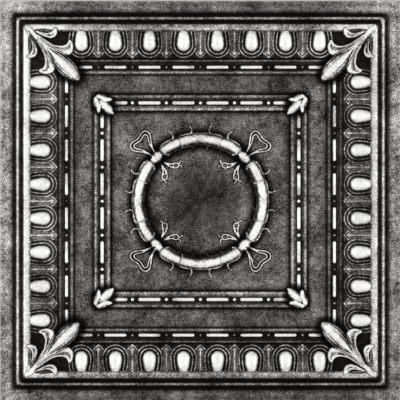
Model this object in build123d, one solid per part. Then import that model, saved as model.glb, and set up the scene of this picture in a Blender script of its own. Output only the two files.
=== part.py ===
from build123d import *
import math
import os

# Square ceiling tile of moulded foam: one piece, ornament face up, back on z = 0.
# The origin is the middle of the back. All sizes are in millimetres.

# The sheet
tile_side = 500.0
sheet_thickness = 3.5
wall_draft = 0.35  # how far each small step leans outwards over its height
embed = 0.6        # how far a raised ornament is rooted in the sheet

# Members of the moulding, from the edge inwards
border_width = 15.8
edge_groove_width = 4.2
edge_bead_width = 3.4
rail_groove_width = 5.5
rail_width = 9.0
frieze_width = 36.7
frieze_lip_width = 1.6
outer_channel_width = 11.8
channel_lip_width = 3.4
band_quirk_width = 2.2
band_width = 22.0
strip_quirk_width = 2.0
strip_outer_lip_width = 3.6
strip_channel_width = 12.0
strip_inner_lip_width = 4.4
field_quirk_width = 1.8

# Heights of the members over the face of the sheet, below it where negative
edge_groove_rise = -1.2
edge_bead_rise = 2.0
rail_groove_rise = -0.7
rail_rise = 5.9
frieze_high_rise = 2.9
frieze_low_rise = 0.1
frieze_lip_rise = 1.1
outer_channel_rise = -0.6
channel_lip_rise = 1.5
quirk_rise = -0.6
strip_outer_lip_rise = 2.1
strip_channel_rise = 0.5
strip_inner_lip_rise = 2.4

# Rounding of the edge bead and the rail
edge_bead_corner = 5.0
edge_bead_round = 1.5
rail_corner = 3.8
rail_outer_round = 3.0
rail_inner_round = 0.8

# Eggs on the frieze, and the two raised rims round each
egg_pitch = 42.5
egg_half_width = 8.7
egg_height = 5.0
egg_neck_radius = 7.7   # radius of the egg's body where it leaves the rail
rim_inner_radius = 11.6
rim_outer_radius = 15.7
rim_lip_gap = 4.3       # from the outer rim's middle line to the frieze's lip
rim_side_radius = 52.9  # how far outside a rim's round end its side arcs are centred
rim_thickness = 1.7
leaf_clearance = 45.0   # what the eggs leave free for the corner leaf

# Darts between the eggs, and the chevron under each
dart_width = 1.8
dart_rise = 0.9
arrow_half_width = 4.4
arrow_length = 5.4
arrow_notch = 3.6
arrow_gap = 3.6         # from the arrow's tip to the chevron's
chevron_half_width = 6.2
chevron_drop = 5.6
chevron_thickness = 2.2
chevron_lip_gap = 3.1

# Bead and reel rows
bead_pitch = 42.5
outer_bead_length = 27.7
outer_bead_radius = 2.05
outer_bead_line = 6.4       # from the outer edge of its channel
outer_bead_corner_gap = 15.0
outer_dot_radius = 1.6
inner_bead_length = 28.1
inner_bead_radius = 2.25
inner_bead_line = 6.0
inner_bead_corner_gap = 20.0
inner_dot_radius = 2.1
short_bead_dot_gap = 6.0    # from the last dot to the short bead that runs into the bud
short_bead_corner_gap = 11.4

# Corner leaf
leaf_rise = 3.9
leaf_collar_rise = 6.6
almond_start = 34.4         # from the frieze's corner along the diagonal
almond_length = 51.0
almond_half_width = 9.6
almond_height = 4.6
blunt_tip = 0.3             # least radius at the tip of a leaf's middle

# Bud at the inner strip's corner
bud_rise = 3.2
bud_lobe_start = 9.7        # from the strip's corner along the diagonal
bud_lobe_length = 22.5
bud_lobe_half_width = 5.0
bud_lobe_height = 4.0

# Wreath in the middle: a flat band with a round log on it, and a knot on each diagonal
wreath_radius = 78.0
wreath_half_angle = 37.0
band_half_width = 7.8
band_height = 3.8
log_half_width = 5.2
log_height = 6.4
knot_half_width = 6.6
knot_height = 5.4
cord_radius = 3.0
cord_rise = 1.0

# Ribbon loop outside each knot
ribbon_rise = 1.1

# Hollows of the back
rail_hollow_wall = 3.6
rail_hollow_lean = 3.4
strip_hollow_depth = 1.2
wreath_hollow_depth = 2.8
wreath_hollow_inset = 3.0
hollow_lean = 1.0

half = tile_side / 2
face_z = sheet_thickness
below = -1.0  # a level under the back, where cutters start

# Distances of the members from the tile's edge
bead_u = border_width + edge_groove_width
rail_groove_u = bead_u + edge_bead_width
rail_u = rail_groove_u + rail_groove_width
frieze_u = rail_u + rail_width
frieze_lip_u = frieze_u + frieze_width
outer_channel_u = frieze_lip_u + frieze_lip_width
channel_lip_u = outer_channel_u + outer_channel_width
band_quirk_u = channel_lip_u + channel_lip_width
band_u = band_quirk_u + band_quirk_width
strip_quirk_u = band_u + band_width
strip_outer_lip_u = strip_quirk_u + strip_quirk_width
strip_channel_u = strip_outer_lip_u + strip_outer_lip_width
strip_inner_lip_u = strip_channel_u + strip_channel_width
field_quirk_u = strip_inner_lip_u + strip_inner_lip_width
field_u = field_quirk_u + field_quirk_width

# Places on the frieze, measured from the rail
egg_middle = frieze_width - rim_lip_gap - rim_outer_radius
chevron_tip = frieze_width - chevron_lip_gap
arrow_tip = chevron_tip - arrow_gap


def quarter_wedge():
    """The quarter of the plan between the two front diagonals, as a tall prism."""
    plan = make_face(Polyline((0, 0), (-half, -half), (half, -half), close=True))
    return extrude(plan, amount=half, both=True)


def quarter_bar(points):
    """A bar along the front side with mitred ends. Its section is (distance from edge, z)."""
    section = make_face(Polyline([(u - half, z) for u, z in points], close=True))
    return extrude(Plane.YZ * section, amount=half, both=True) & quarter_wedge()


def above(level, piece):
    """The part of a piece that lies over a level."""
    span = 2 * tile_side
    return piece & (Pos(0, 0, level + span / 2) * Box(span, span, span))


def lip(start, width, rise):
    """The two top corners of a raised lip with leaning sides."""
    top = face_z + rise
    return [(start + wall_draft, top), (start + width - wall_draft, top)]


def floor_between(start, end, rise):
    """The two bottom corners of a channel with leaning sides."""
    bottom = face_z + rise
    return [(start + wall_draft, bottom), (end - wall_draft, bottom)]


def quarter_sheet():
    """A quarter of the pressed sheet: its flat and sloping members, on a flat back."""
    bead_middle = bead_u + edge_bead_width / 2
    rail_middle = rail_u + rail_width / 2
    steps = [
        (0, face_z),
        (border_width, face_z),
        (border_width + wall_draft, face_z + edge_groove_rise),
        (bead_middle, face_z + edge_groove_rise),
        (bead_middle, face_z + rail_groove_rise),
        (rail_middle, face_z + rail_groove_rise),
        (rail_middle, face_z + frieze_high_rise),
        (frieze_u, face_z + frieze_high_rise),
        (frieze_lip_u, face_z + frieze_low_rise),
    ]
    steps += lip(frieze_lip_u, frieze_lip_width, frieze_lip_rise)
    steps += floor_between(outer_channel_u, channel_lip_u, outer_channel_rise)
    steps += lip(channel_lip_u, channel_lip_width, channel_lip_rise)
    steps += floor_between(band_quirk_u, band_u, quirk_rise)
    steps += [(band_u, face_z), (strip_quirk_u, face_z)]
    steps += floor_between(strip_quirk_u, strip_outer_lip_u, quirk_rise)
    steps += lip(strip_outer_lip_u, strip_outer_lip_width, strip_outer_lip_rise)
    steps += floor_between(strip_channel_u, strip_inner_lip_u, strip_channel_rise)
    steps += lip(strip_inner_lip_u, strip_inner_lip_width, strip_inner_lip_rise)
    steps += floor_between(field_quirk_u, field_u, quirk_rise)
    steps += [(field_u, face_z), (half, face_z), (half, 0), (0, 0)]
    return quarter_bar(steps)


def square_ring(start, width, corner, bottom, top):
    """A raised square ring with rounded outer and inner corners."""
    outer_side = tile_side - 2 * start
    inner_side = outer_side - 2 * width
    outer = RectangleRounded(outer_side, outer_side, corner)
    inner = RectangleRounded(inner_side, inner_side, corner)
    return extrude(Pos(0, 0, bottom) * (outer - inner), amount=top - bottom)


def rounded_top(ring, outer_round, inner_round):
    """Round the outer and the inner edge of a ring's top."""
    wires = ring.faces().sort_by(Axis.Z)[-1].wires().sort_by(lambda wire: wire.length)
    ring = fillet(wires[-1].edges(), outer_round)
    wires = ring.faces().sort_by(Axis.Z)[-1].wires().sort_by(lambda wire: wire.length)
    return fillet(wires[0].edges(), inner_round)


def edge_bead():
    """The half-round bead near the edge."""
    bottom = face_z + min(edge_groove_rise, rail_groove_rise) - embed
    top = face_z + edge_bead_rise
    ring = square_ring(bead_u, edge_bead_width, edge_bead_corner, bottom, top)
    return rounded_top(ring, edge_bead_round, edge_bead_round)


def rail():
    """The broad rounded rail around the frieze."""
    bottom = face_z + rail_groove_rise - embed
    ring = square_ring(rail_u, rail_width, rail_corner, bottom, face_z + rail_rise)
    return rounded_top(ring, rail_outer_round, rail_inner_round)


def frieze_plane():
    """The sloping face of the frieze on the front side: x along it, y from rail to lip."""
    fall = (frieze_high_rise - frieze_low_rise) / frieze_width
    origin = (0, frieze_u - half, face_z + frieze_high_rise)
    return Plane(origin=origin, x_dir=(1, 0, 0), z_dir=(0, fall, 1))


def sunk_radius(half_width, height):
    """Radius of a round body that shows this half-width and this height over a plane."""
    return (half_width**2 + height**2) / (2 * height)


def egg():
    """One egg, half sunk in the frieze, with its neck under the rail."""
    radius = sunk_radius(egg_half_width, egg_height)
    neck_drop = radius - egg_neck_radius
    side_radius = (egg_middle**2 + neck_drop**2) / (2 * neck_drop)
    top = -rail_inner_round
    reach = egg_middle - top
    top_radius = radius - side_radius + math.sqrt(side_radius**2 - reach**2)
    mid_radius = radius - side_radius + math.sqrt(side_radius**2 - reach**2 / 4)
    diagonal = math.sqrt(0.5) * radius
    outline = [
        Line((0, top), (top_radius, top)),
        ThreePointArc(
            (top_radius, top), (mid_radius, egg_middle - reach / 2), (radius, egg_middle)
        ),
        ThreePointArc(
            (radius, egg_middle), (diagonal, egg_middle + diagonal), (0, egg_middle + radius)
        ),
        Line((0, egg_middle + radius), (0, top)),
    ]
    body = revolve(make_face(outline), Axis.Y)
    return above(-embed, Pos(0, 0, egg_height - radius) * body)


def rim(radius):
    """One raised line that runs down from the rail, round the egg and up again."""
    side = radius + rim_side_radius
    reach = egg_middle + rail_inner_round
    angle = math.asin(reach / side)
    top = (side * math.cos(angle) - rim_side_radius, egg_middle - reach)
    mid = (
        side * math.cos(angle / 2) - rim_side_radius,
        egg_middle - side * math.sin(angle / 2),
    )
    left = ThreePointArc((-top[0], top[1]), (-mid[0], mid[1]), (-radius, egg_middle))
    round_end = ThreePointArc((-radius, egg_middle), (0, egg_middle + radius), (radius, egg_middle))
    right = ThreePointArc((radius, egg_middle), mid, top)
    path = Wire([left, round_end, right])
    start = Plane(origin=path @ 0, z_dir=path % 0)
    return sweep(start * Circle(rim_thickness / 2), path=path)


def dart():
    """The arrow between two eggs, and the chevron below it."""
    side = dart_width / 2
    barb_y = arrow_tip - arrow_length
    notch_y = arrow_tip - arrow_notch
    arrow = [
        (-side, -rail_inner_round),
        (side, -rail_inner_round),
        (side, notch_y),
        (arrow_half_width, barb_y),
        (0, arrow_tip),
        (-arrow_half_width, barb_y),
        (-side, notch_y),
    ]
    high = chevron_tip - chevron_drop
    chevron = [
        (-chevron_half_width, high),
        (0, chevron_tip),
        (chevron_half_width, high),
        (chevron_half_width, high - chevron_thickness),
        (0, chevron_tip - chevron_thickness),
        (-chevron_half_width, high - chevron_thickness),
    ]
    faces = [make_face(Polyline(points, close=True)) for points in (arrow, chevron)]
    return [raised(face, -embed, dart_rise) for face in faces]


def capsule(length, radius):
    """A round-ended bead lying along x."""
    tip = length / 2
    straight = tip - radius
    lean = radius * math.sqrt(0.5)
    outline = [
        Line((-tip, 0), (tip, 0)),
        ThreePointArc((tip, 0), (straight + lean, lean), (straight, radius)),
        Line((straight, radius), (-straight, radius)),
        ThreePointArc((-straight, radius), (-straight - lean, lean), (-tip, 0)),
    ]
    return revolve(make_face(outline), Axis.X)


def copies_in(length, pitch):
    """How many copies fit in half a side when they stand at odd half pitches."""
    return int(length / pitch + 0.5)


def row(piece, pitch, count):
    """A piece repeated at odd half pitches, this many to each side of the middle."""
    places = [pitch * (step + 0.5) for step in range(-count, count)]
    return [Pos(x, 0, 0) * piece for x in places]


def row_between(piece, pitch, count):
    """A piece repeated at whole pitches, this many to each side of the middle one."""
    return [Pos(pitch * step, 0, 0) * piece for step in range(-count, count + 1)]


def frieze_ornaments():
    """Eggs, rims and darts along the front side."""
    count = copies_in(half - frieze_u - leaf_clearance, egg_pitch)
    flat = []
    for piece in (egg(), rim(rim_inner_radius), rim(rim_outer_radius)):
        flat += row(piece, egg_pitch, count)
    for piece in dart():
        flat += row_between(piece, egg_pitch, count - 1)
    return [frieze_plane() * piece for piece in flat]


def outer_bead_row():
    """The long beads and small dots in the outer channel, along the front side."""
    line_u = outer_channel_u + outer_bead_line
    count = copies_in(half - line_u - outer_bead_corner_gap, bead_pitch)
    pieces = row(capsule(outer_bead_length, outer_bead_radius), bead_pitch, count)
    pieces += row_between(Sphere(outer_dot_radius), bead_pitch, count - 1)
    return [Pos(0, line_u - half, face_z + outer_channel_rise) * piece for piece in pieces]


def inner_bead_row():
    """The beads and dots of the inner strip, with a short bead running into each bud."""
    line_u = strip_channel_u + inner_bead_line
    corner = half - line_u
    count = copies_in(corner - inner_bead_corner_gap, bead_pitch)
    pieces = row(capsule(inner_bead_length, inner_bead_radius), bead_pitch, count)
    pieces += row_between(Sphere(inner_dot_radius), bead_pitch, count)
    start = count * bead_pitch + short_bead_dot_gap
    end = corner - short_bead_corner_gap
    short = capsule(end - start, inner_bead_radius)
    pieces += [Pos(side * (start + end) / 2, 0, 0) * short for side in (-1, 1)]
    return [Pos(0, line_u - half, face_z + strip_channel_rise) * piece for piece in pieces]


def spindle(start, length, half_width, height):
    """A lens-shaped body along x that stands this high over z = 0."""
    radius = sunk_radius(half_width, height)
    sunk = radius - height
    tip = max(sunk - embed, blunt_tip)
    end = start + length
    outline = [
        ThreePointArc((start, tip), (start + length / 2, radius), (end, tip)),
        Line((end, tip), (end, 0)),
        Line((end, 0), (start, 0)),
        Line((start, 0), (start, tip)),
    ]
    return above(0, Pos(0, 0, -sunk) * revolve(make_face(outline), Axis.X))


def both_sides(outline):
    """A face and its mirror image across the diagonal."""
    face = make_face(outline)
    return [face, mirror(face, Plane.XZ)]


def raised(face, bottom, top):
    """A flat-topped raised ornament."""
    return extrude(Pos(0, 0, bottom) * face, amount=top - bottom)


def corner_leaf():
    """The five-lobed leaf. x runs along the diagonal, inwards from the frieze's corner."""
    inner_lobe = [
        Spline((6.4, 3.4), (26.4, 6.3), (38.9, 13), (43.4, 20.5), (42.3, 25.6)),
        ThreePointArc((42.3, 25.6), (44.7, 27.3), (47.6, 26)),
        Spline((47.6, 26), (53, 22), (55.2, 16.2), (50.9, 9.6), (42.4, 6.5)),
        Line((42.4, 6.5), (42.4, -1)),
        Line((42.4, -1), (6.4, -1)),
        Line((6.4, -1), (6.4, 3.4)),
    ]
    outer_lobe = [
        Spline((1.4, 5.0), (11.4, 9.4), (17.6, 14.6), (19.6, 20.5), (18.8, 24.2)),
        ThreePointArc((18.8, 24.2), (20.4, 25.6), (22.6, 24.4)),
        Spline((22.6, 24.4), (26.4, 17.2), (22.9, 10.8), (12.4, 5.6), (1.4, 2.4)),
        Line((1.4, 2.4), (1.4, 5.0)),
    ]
    collar = [
        ThreePointArc((-9.6, 0), (-6.2, 2.8), (-1.6, 4.0)),
        Line((-1.6, 4.0), (4.4, 2.8)),
        Line((4.4, 2.8), (10.4, 2.2)),
        Line((10.4, 2.2), (10.4, -1)),
        Line((10.4, -1), (-9.6, -1)),
        Line((-9.6, -1), (-9.6, 0)),
    ]
    root = face_z - embed
    top = face_z + leaf_rise
    parts = [raised(face, root, top) for face in both_sides(inner_lobe) + both_sides(outer_lobe)]
    collar_root = face_z + frieze_high_rise
    collar_top = face_z + leaf_collar_rise
    parts += [raised(face, collar_root, collar_top) for face in both_sides(collar)]
    almond_root = face_z + outer_channel_rise - embed
    almond = spindle(almond_start, almond_length, almond_half_width, almond_height + embed)
    return parts + [Pos(0, 0, almond_root) * almond]


def inner_bud():
    """The three-lobed bud. x runs along the diagonal, inwards from the strip's corner."""
    side_lobe = [
        Spline((1.7, 0), (3.7, 5), (8.7, 8.4), (17.3, 11.8)),
        ThreePointArc((17.3, 11.8), (19.3, 11.6), (19.9, 9.6)),
        Spline((19.9, 9.6), (18.1, 7), (17.1, 3)),
        Line((17.1, 3), (12.7, 1.8)),
        Line((12.7, 1.8), (4.7, 0)),
        Line((4.7, 0), (1.7, 0)),
    ]
    root = face_z - embed
    parts = [raised(face, root, face_z + bud_rise) for face in both_sides(side_lobe)]
    lobe_height = bud_lobe_height + embed
    lobe = spindle(bud_lobe_start, bud_lobe_length, bud_lobe_half_width, lobe_height)
    return parts + [Pos(0, 0, root) * lobe]


def ribbon_loop():
    """The flat ribbon loop. x runs outwards along the diagonal, from the wreath's circle."""
    outer = [
        Line((6, 0), (6, 3.2)),
        Line((6, 3.2), (12, 5.6)),
        Line((12, 5.6), (24.4, 13.6)),
        ThreePointArc((24.4, 13.6), (31.6, 14.2), (34.2, 8.0)),
        Spline((34.2, 8.0), (33.2, 3.6), (32.6, 0)),
        Line((32.6, 0), (6, 0)),
    ]
    inner = [
        Line((6, 0), (6, 1.7)),
        Line((6, 1.7), (17, 4.6)),
        Line((17, 4.6), (25, 9.8)),
        ThreePointArc((25, 9.8), (28.6, 10.3), (30, 7.4)),
        Spline((30, 7.4), (29, 3.2), (28.6, 0)),
        Line((28.6, 0), (6, 0)),
    ]
    half_loop = make_face(outer) - make_face(inner)
    faces = [half_loop, mirror(half_loop, Plane.XZ)]
    return [raised(face, face_z - embed, face_z + ribbon_rise) for face in faces]


def corner_ornaments():
    """Leaf, bud and ribbon loop on the diagonal where x and y are positive."""
    diagonal = math.sqrt(2)
    leaf_x = (half - frieze_u) * diagonal
    bud_x = (half - strip_outer_lip_u) * diagonal
    inwards = Rot(0, 0, 180)
    pieces = [Pos(leaf_x, 0, 0) * (inwards * piece) for piece in corner_leaf()]
    pieces += [Pos(bud_x, 0, 0) * (inwards * piece) for piece in inner_bud()]
    pieces += [Pos(wreath_radius, 0, 0) * piece for piece in ribbon_loop()]
    return [Rot(0, 0, 45) * piece for piece in pieces]


def wreath_arc(half_width, height):
    """A round-ended arc of the wreath, centred on the front side's middle line."""
    radius = sunk_radius(half_width, height)
    centre_z = face_z + height - radius
    turn = wreath_half_angle - math.degrees(half_width / wreath_radius)
    section = Plane.XZ * (Pos(wreath_radius, centre_z) * Circle(radius))
    arc = Rot(0, 0, -90 - turn) * revolve(section, Axis.Z, revolution_arc=2 * turn)
    ball = Sphere(radius) & (Pos(0, radius, 0) * Box(2 * radius, 2 * radius, 2 * radius))
    ends = [
        Rot(0, 0, -90 + turn) * (Pos(wreath_radius, 0, centre_z) * ball),
        Rot(0, 0, -90 - turn) * (Pos(wreath_radius, 0, centre_z) * (Rot(0, 0, 180) * ball)),
    ]
    return [above(face_z - embed, piece) for piece in [arc] + ends]


def wreath():
    """The front arc of the wreath, its two knots, and the cord that joins all arcs."""
    knot_radius = sunk_radius(knot_half_width, knot_height)
    knot_z = face_z + knot_height - knot_radius
    knot = Pos(wreath_radius, 0, knot_z) * Sphere(knot_radius)
    cord = Plane.XZ * (Pos(wreath_radius, face_z + cord_rise) * Circle(cord_radius))
    pieces = [Rot(0, 0, -90 + side * 45) * knot for side in (-1, 1)] + [revolve(cord, Axis.Z)]
    pieces = [above(face_z - embed, piece) for piece in pieces]
    return pieces + wreath_arc(band_half_width, band_height) + wreath_arc(log_half_width, log_height)


def back_hollows():
    """What the pressing leaves open behind the rail, the frieze, the strip and the wreath."""
    high = face_z + rail_rise - rail_hollow_wall
    shoulder = face_z + frieze_high_rise - rail_hollow_wall
    shoulder_u = frieze_u + rail_hollow_lean
    end_u = frieze_lip_u - rail_hollow_lean
    rail_hollow = [
        (rail_u, below),
        (rail_u, 0),
        (rail_u + rail_hollow_lean, high),
        (frieze_u - rail_inner_round, high),
        (shoulder_u, shoulder),
        (end_u, 0),
        (end_u, below),
    ]
    strip_hollow = [
        (strip_outer_lip_u, below),
        (strip_outer_lip_u, 0),
        (strip_outer_lip_u + hollow_lean, strip_hollow_depth),
        (field_quirk_u - hollow_lean, strip_hollow_depth),
        (field_quirk_u, 0),
        (field_quirk_u, below),
    ]
    inner_r = wreath_radius - band_half_width + wreath_hollow_inset
    outer_r = wreath_radius + band_half_width - wreath_hollow_inset
    groove = [
        (inner_r - hollow_lean, below),
        (inner_r - hollow_lean, 0),
        (inner_r, wreath_hollow_depth),
        (outer_r, wreath_hollow_depth),
        (outer_r + hollow_lean, 0),
        (outer_r + hollow_lean, below),
    ]
    ring = revolve(Plane.XZ * make_face(Polyline(groove, close=True)), Axis.Z)
    return [quarter_bar(rail_hollow), quarter_bar(strip_hollow), ring]


def quarter_tile():
    """The quarter of the tile between the two front diagonals."""
    on_diagonal = corner_ornaments()
    pieces = frieze_ornaments() + outer_bead_row() + inner_bead_row()
    pieces += [Rot(0, 0, -90) * piece for piece in on_diagonal]
    pieces += [Rot(0, 0, 180) * piece for piece in on_diagonal]
    pieces += [edge_bead(), rail()] + wreath()
    whole_pieces = quarter_sheet().fuse(*pieces)
    return (whole_pieces & quarter_wedge()).cut(*back_hollows())


def ceiling_tile():
    """The whole tile as one solid, from four equal quarters."""
    quarter = quarter_tile()
    return quarter.fuse(*[Rot(0, 0, 90 * turn) * quarter for turn in (1, 2, 3)])


os.makedirs("parts", exist_ok=True)
export_step(ceiling_tile(), "parts/ceiling_tile.step")
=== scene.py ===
import bpy
import math
import numpy as np
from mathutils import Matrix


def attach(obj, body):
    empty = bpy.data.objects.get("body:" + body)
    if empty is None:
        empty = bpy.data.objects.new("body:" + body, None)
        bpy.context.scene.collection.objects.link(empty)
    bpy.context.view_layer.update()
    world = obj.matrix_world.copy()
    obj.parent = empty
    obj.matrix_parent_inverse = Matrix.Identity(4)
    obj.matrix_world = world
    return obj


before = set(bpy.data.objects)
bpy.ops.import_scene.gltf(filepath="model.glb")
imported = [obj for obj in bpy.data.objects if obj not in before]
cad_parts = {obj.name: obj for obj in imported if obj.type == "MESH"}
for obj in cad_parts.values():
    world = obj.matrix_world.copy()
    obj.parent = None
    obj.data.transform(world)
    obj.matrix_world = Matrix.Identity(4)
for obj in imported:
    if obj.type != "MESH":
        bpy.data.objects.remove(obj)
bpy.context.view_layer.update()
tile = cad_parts["ceiling_tile"]

MM = 0.001
DIAGONAL = math.sqrt(0.5)

# Sizes of the tile's members, in millimetres from its edge inwards, and heights over its back
HALF = 250.0
FACE_Z = 3.5
EDGE_GROOVE = 15.8
EDGE_BEAD = 20.0
RAIL_GROOVE = 23.4
RAIL = 28.9
FRIEZE = 37.9
FRIEZE_LIP = 74.6
OUTER_CHANNEL = 76.2
CHANNEL_LIP = 88.0
BAND_QUIRK = 91.4
BAND = 93.6
STRIP_QUIRK = 115.6
STRIP_LIP = 117.6
STRIP_CHANNEL = 121.2
STRIP_INNER_LIP = 133.2
FIELD_QUIRK = 137.6
FIELD = 139.4
WREATH_RADIUS = 78.0
EGG_PITCH = 42.5


# Relief engine: heights are functions of the plan, in millimetres

def smooth_path(points, per_span=10):
    """A Catmull-Rom line through rows of (x, y, ...); extra columns are carried along."""
    p = np.array(points, float)
    ends = np.vstack([2 * p[0] - p[1], p, 2 * p[-1] - p[-2]])
    out = []
    for i in range(len(p) - 1):
        a, b, c, d = ends[i:i + 4]
        t = np.linspace(0, 1, per_span, endpoint=False)[:, None]
        out.append(0.5 * (2 * b + (c - a) * t + (2 * a - 5 * b + 4 * c - d) * t**2
                          + (3 * b - a - 3 * c + d) * t**3))
    return np.vstack(out + [p[-1:]])


def closest(x, y, line):
    """For each point: distance to a line, and the line's other columns at the nearest place."""
    px, py = x.ravel(), y.ravel()
    best = np.full(px.shape, 1e9)
    extra = np.zeros((px.size, line.shape[1] - 2))
    for a, b in zip(line[:-1], line[1:]):
        dx, dy = b[0] - a[0], b[1] - a[1]
        span = dx * dx + dy * dy + 1e-12
        t = np.clip(((px - a[0]) * dx + (py - a[1]) * dy) / span, 0, 1)
        d = np.hypot(px - a[0] - t * dx, py - a[1] - t * dy)
        near = d < best
        best[near] = d[near]
        if extra.shape[1]:
            extra[near] = a[2:] + t[near, None] * (b[2:] - a[2:])
    return best.reshape(x.shape), extra.reshape(x.shape + (extra.shape[1],))


def inside_distance(x, y, outline):
    """Distance to a closed outline, positive inside it."""
    loop = np.vstack([outline, outline[:1]])
    distance, _ = closest(x, y, loop)
    inside = np.zeros(x.shape, bool)
    for (ax, ay), (bx, by) in zip(loop[:-1], loop[1:]):
        crosses = (ay > y) != (by > y)
        if ay != by:
            inside ^= crosses & (x < (bx - ax) * (y - ay) / (by - ay) + ax)
    return np.where(inside, distance, -distance)


def without_pinches(cells):
    """Where two shown cells meet only at a corner, the cells between them are shown too."""
    while True:
        a, b = cells[:-1, :-1], cells[1:, 1:]
        c, d = cells[1:, :-1], cells[:-1, 1:]
        first = a & b & ~c & ~d
        second = c & d & ~a & ~b
        if not (first.any() or second.any()):
            return cells
        cells[1:, :-1] |= first
        cells[:-1, :-1] |= second


WALL_SLOPE = 4.0       # how much a form's wall falls, for each millimetre outwards
LEAST_HALF = 0.2       # least half width of a bar or a groove
FILM = 0.12            # thickness of the dark wash round a bar
WASH_TONE = 0.05
UNTOUCHED_TONE = 0.06
BURIED = 1.0           # how far a patch lies under the face where nothing is carved
LEAST_RISE = 0.04      # a patch shows only where it rises more than this over the face
TUCK = 0.25            # how far the rim of a patch may go under the face
FOOT = 0.5             # how far the underside of a patch lies under the face
GENTLE = 0.25          # slopes up to this one keep their tone, free of painted shade
STEEPER = 1.4          # slopes steeper than that by this much lose half of it, as painted shade


class Relief:
    """A patch of carved foam: a height and a paint tone at each point of a grid of the plan."""

    def __init__(self, first, last, cell, ground):
        self.cell = cell
        p = np.arange(first[0], last[0] + cell, cell)
        q = np.arange(first[1], last[1] + cell, cell)
        self.p, self.q = np.meshgrid(p, q, indexing="ij")
        self.ground = ground(self.p, self.q)
        self.z = self.ground - BURIED
        self.tone = np.full(self.p.shape, UNTOUCHED_TONE)

    def along(self, points):
        """Values given at points (p, q, value, ...) of a path, carried out to the whole patch."""
        return closest(self.p, np.abs(self.q), smooth_path(points))[1]

    def put(self, height, tone):
        """Lay a form over what is there, where it is higher."""
        higher = height > self.z
        self.z = np.where(higher, height, self.z)
        self.tone = np.where(higher, tone, self.tone)

    def body(self, outline, level, crown, width, tone, edge_tone=0.25):
        """A form with a steep wall at its outline and a crowned top, in another tone at its edge."""
        d = inside_distance(self.p, np.abs(self.q), np.array(outline, float))
        rise = np.clip(d / width, 0, 1)
        height = level + crown * (1 - (1 - rise)**2) + WALL_SLOPE * np.minimum(d, 0)
        self.put(height, edge_tone + (tone - edge_tone) * np.clip(d / 1.1 + 0.4, 0, 1))

    def ridge(self, points, tone, skirt=0.0):
        """A rounded bar along a path of (p, q, half width, top), with painted shade on its flanks, in a dark
        film as wide as skirt.
        """
        d, extra = closest(self.p, np.abs(self.q), smooth_path(points))
        half, top = np.maximum(extra[..., 0], LEAST_HALF), extra[..., 1]
        across = np.clip(d / half, 0, 1)
        height = top - 0.7 * half * (1 - np.sqrt(1 - across**2)) - WALL_SLOPE * np.maximum(d - half, 0)
        # Painted shade: the bar darkens towards its flanks, as a rounded form does under light
        self.put(height, tone * (1 - 0.55 * across**3))
        if skirt:
            self.put(np.where(d < half + skirt, self.ground + FILM, -1), WASH_TONE)

    def groove(self, points, tone=0.3, floor=0.0, side=0):
        """A soft groove along a path of (p, q, half width, depth), down to a floor at most.

        It lies on both sides of the middle line, or only where q has the sign of side."""
        d, extra = closest(self.p, np.abs(self.q), smooth_path(points))
        part = (1 - np.clip(d / np.maximum(extra[..., 0], LEAST_HALF), 0, 1)**2)**2
        if side:
            part = part * (self.q * side > 0)
        self.z = np.maximum(self.z - extra[..., 1] * part, np.minimum(self.z, floor))
        self.tone = self.tone + (tone - self.tone) * part

    def piece(self, name, to_world):
        """The patch as a closed mesh; what lies under the tile's own face is left out."""
        shown = self.z > self.ground + LEAST_RISE
        cells = without_pinches(shown[:-1, :-1] | shown[1:, :-1] | shown[1:, 1:] | shown[:-1, 1:])
        i, j = np.nonzero(cells)
        corners = [(i, j), (i + 1, j), (i + 1, j + 1), (i, j + 1)]
        index = np.full(self.z.shape, -1)
        used = np.zeros(self.z.shape, bool)
        for ci, cj in corners:
            used[ci, cj] = True
        index[used] = np.arange(used.sum())
        count = int(used.sum())
        x, y = to_world(self.p[used], self.q[used])
        top = np.maximum(self.z[used], self.ground[used] - TUCK)
        bottom = self.ground[used] - FOOT
        points = np.vstack([np.column_stack([x, y, top]), np.column_stack([x, y, bottom])]) * MM
        # Painted shade: the steep slopes of a form are made darker, as if light fell off on them
        steepness = np.hypot(*np.gradient(self.z, self.cell))
        tone = self.tone * (1 - 0.5 * np.clip((steepness - GENTLE) / STEEPER, 0, 1))
        quads = np.column_stack([index[ci, cj] for ci, cj in corners])
        closed = np.pad(cells, 1)
        walls = []
        for (da, db), (e, f) in (((0, -1), (0, 1)), ((1, 0), (1, 2)), ((0, 1), (2, 3)), ((-1, 0), (3, 0))):
            open_side = ~closed[i + 1 + da, j + 1 + db]
            a, b = quads[open_side, e], quads[open_side, f]
            walls.append(np.column_stack([b, a, a + count, b + count]))
        faces = np.vstack([quads, quads[:, ::-1] + count] + walls)
        # A patch that is mirrored on its way to the tile has its faces turned round
        ax, ay = to_world(np.array([0.0, 1.0, 0.0]), np.array([0.0, 0.0, 1.0]))
        mirrored = (ax[1] - ax[0]) * (ay[2] - ay[0]) - (ay[1] - ay[0]) * (ax[2] - ax[0]) < 0
        if mirrored:
            faces = faces[:, ::-1]
        mesh = bpy.data.meshes.new(name)
        mesh.from_pydata(points.tolist(), [], faces.tolist())
        tones = mesh.attributes.new("tone", "FLOAT", "POINT")
        tones.data.foreach_set("value", np.tile(tone[used], 2).astype(np.float32))
        mesh.polygons.foreach_set("use_smooth", [True] * len(faces))
        mesh.update()
        piece = bpy.data.objects.new(name, mesh)
        bpy.context.scene.collection.objects.link(piece)
        mesh.materials.append(ornament_paint)
        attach(piece, "root")
        return piece


# Heights of the tile's plain members, as pairs of distance from the edge and height

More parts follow.
